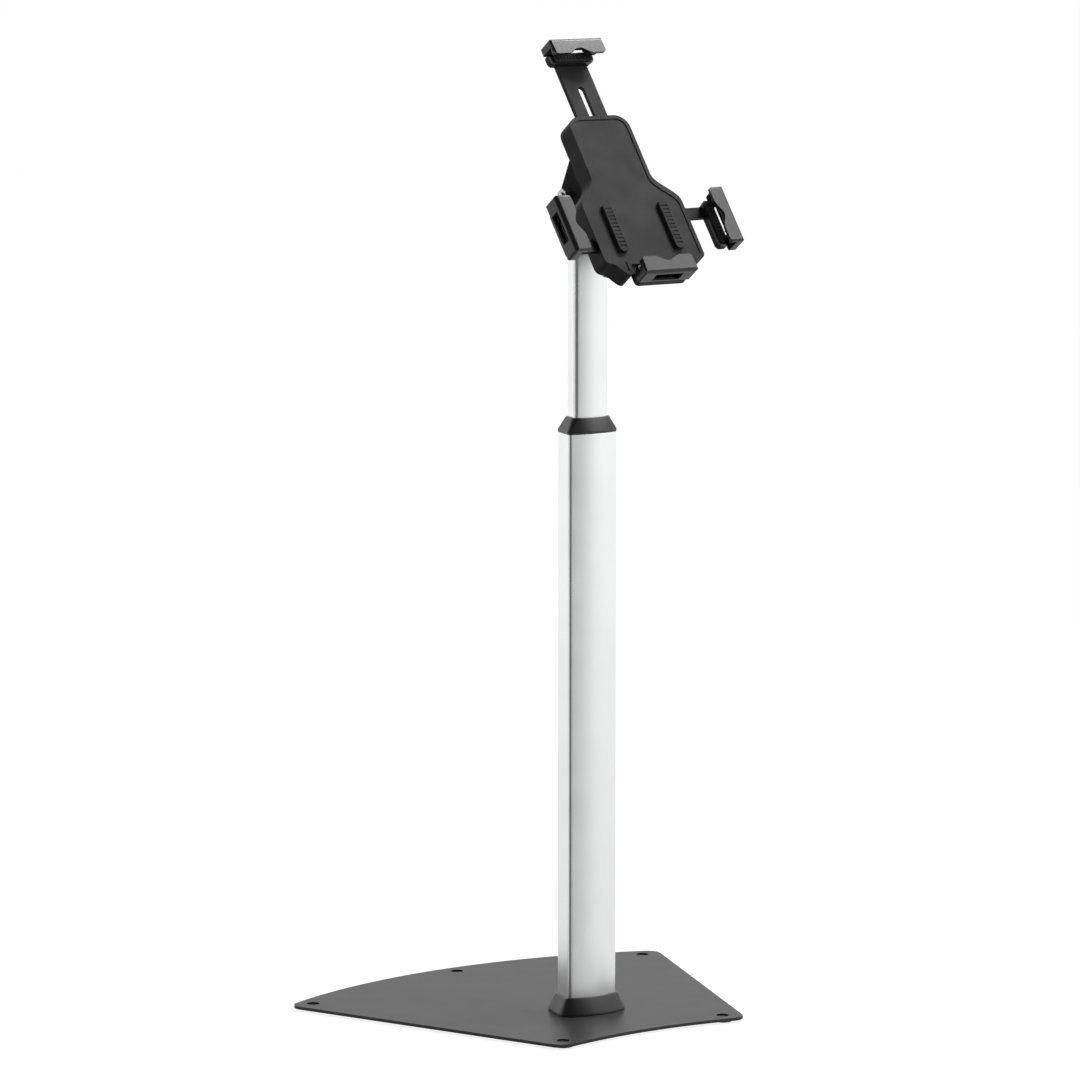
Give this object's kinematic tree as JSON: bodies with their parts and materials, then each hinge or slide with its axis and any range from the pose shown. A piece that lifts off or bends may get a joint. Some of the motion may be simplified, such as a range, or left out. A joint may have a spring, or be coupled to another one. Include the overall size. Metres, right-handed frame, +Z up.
{
  "type": "tablet floor stand",
  "caption": "Floor stand with a fan-shaped foot plate, a telescoping column, and a tilting, turning holder whose sliding jaws grip a tablet.",
  "frame": {"origin": "on the floor under the middle of the stand's bounding box", "axes": "+Z up, -Y towards the user, +X to the user's right"},
  "size_m": [0.43, 0.3664, 0.9273],
  "materials": {
    "coated_plate": "matte dark grey powder coat",
    "black_steel": "black powder coat",
    "rubber": "matte",
    "satin_aluminium": "satin anodised",
    "cast_aluminium": "black coated casting",
    "gear_plastic": "natural",
    "jaw_plastic": "fine moulded texture",
    "black_plastic": "fine moulded texture",
    "steel": "zinc plated"
  },
  "bodies": {
    "base": {"base_plate": "coated_plate", "foot_pads": "rubber", "foot_screws": "black_steel", "column_plug": "cast_aluminium", "column_bolts": "steel", "column_set_screws": "steel", "foot_cover": "black_plastic", "outer_tube": "satin_aluminium", "guide_bush": "black_plastic", "collar": "black_plastic", "height_lock_screw": "steel", "clamp_shoe": "rubber"},
    "mast": {"inner_tube": "satin_aluminium", "lower_glide": "black_plastic", "tilt_yoke": "cast_aluminium", "yoke_screws": "steel"},
    "tilt_head": {"tilt_bracket": "black_steel", "tilt_bolt": "steel", "friction_washers": "black_plastic", "tilt_nut": "steel"},
    "holder": {"rear_housing": "black_plastic", "front_plate": "black_plastic", "cover_screws": "steel", "seat_pads": "rubber", "swivel_bolt": "steel", "swivel_washer": "rubber", "spring_washers": "steel", "swivel_nut": "steel", "bottom_arm": "black_plastic", "bottom_jaw": "jaw_plastic", "bottom_jaw_pad": "rubber", "bottom_jaw_screws": "steel", "arm_screws": "steel", "pinion_pin": "steel", "stop_screw": "steel", "lock_barrel": "steel"},
    "pinion": {"drive_pinion": "gear_plastic"},
    "lock": {"lock_plug": "steel", "lock_cam": "steel"},
    "top_grip": {"top_arm": "black_plastic", "top_jaw": "jaw_plastic", "top_jaw_pad": "rubber", "top_jaw_screws": "steel"},
    "left_grip": {"left_arm": "black_plastic", "left_jaw": "jaw_plastic", "left_jaw_pad": "rubber", "left_jaw_screws": "steel"},
    "right_grip": {"right_arm": "black_plastic", "right_jaw": "jaw_plastic", "right_jaw_pad": "rubber", "right_jaw_screws": "steel"}
  },
  "joints": [
    {"name": "height_slide", "type": "slide", "parent": "base", "child": "mast", "axis": [0, 0, 1], "range_m": [-0.18, 0.2]},
    {"name": "tilt", "type": "hinge", "parent": "mast", "child": "tilt_head", "pos_m": [0, -0.04929, 0.7822], "axis": [-1, 0, 0], "range_deg": [-36.7, 50]},
    {"name": "turn", "type": "hinge", "parent": "tilt_head", "child": "holder", "pos_m": [0, -0.04929, 0.7822], "axis": [0, -0.8018, 0.5976], "range_deg": [-90, 90]},
    {"name": "top_grip_slide", "type": "slide", "parent": "holder", "child": "top_grip", "axis": [0, 0.5976, 0.8018], "range_m": [-0.04, 0.01]},
    {"name": "left_grip_slide", "type": "slide", "parent": "holder", "child": "left_grip", "axis": [-1, 0, 0], "range_m": [-0.017, 0.003]},
    {"name": "right_grip_slide", "type": "slide", "parent": "holder", "child": "right_grip", "axis": [1, 0, 0], "range_m": [-0.017, 0.003]},
    {"name": "pinion_turn", "type": "hinge", "parent": "holder", "child": "pinion", "pos_m": [0, -0.13822, 0.75994], "axis": [0, -0.8018, 0.5976], "range_deg": [-24, 131]},
    {"name": "lock_turn", "type": "hinge", "parent": "holder", "child": "lock", "pos_m": [-0.042, -0.15506, 0.73735], "axis": [0, -0.8018, 0.5976], "range_deg": [-90, 0]}
  ],
  "couplings": [
    {"joint": "right_grip_slide", "follows": "left_grip_slide", "ratio": 1},
    {"joint": "pinion_turn", "follows": "left_grip_slide", "rad_per_m": -133.33}
  ]
}
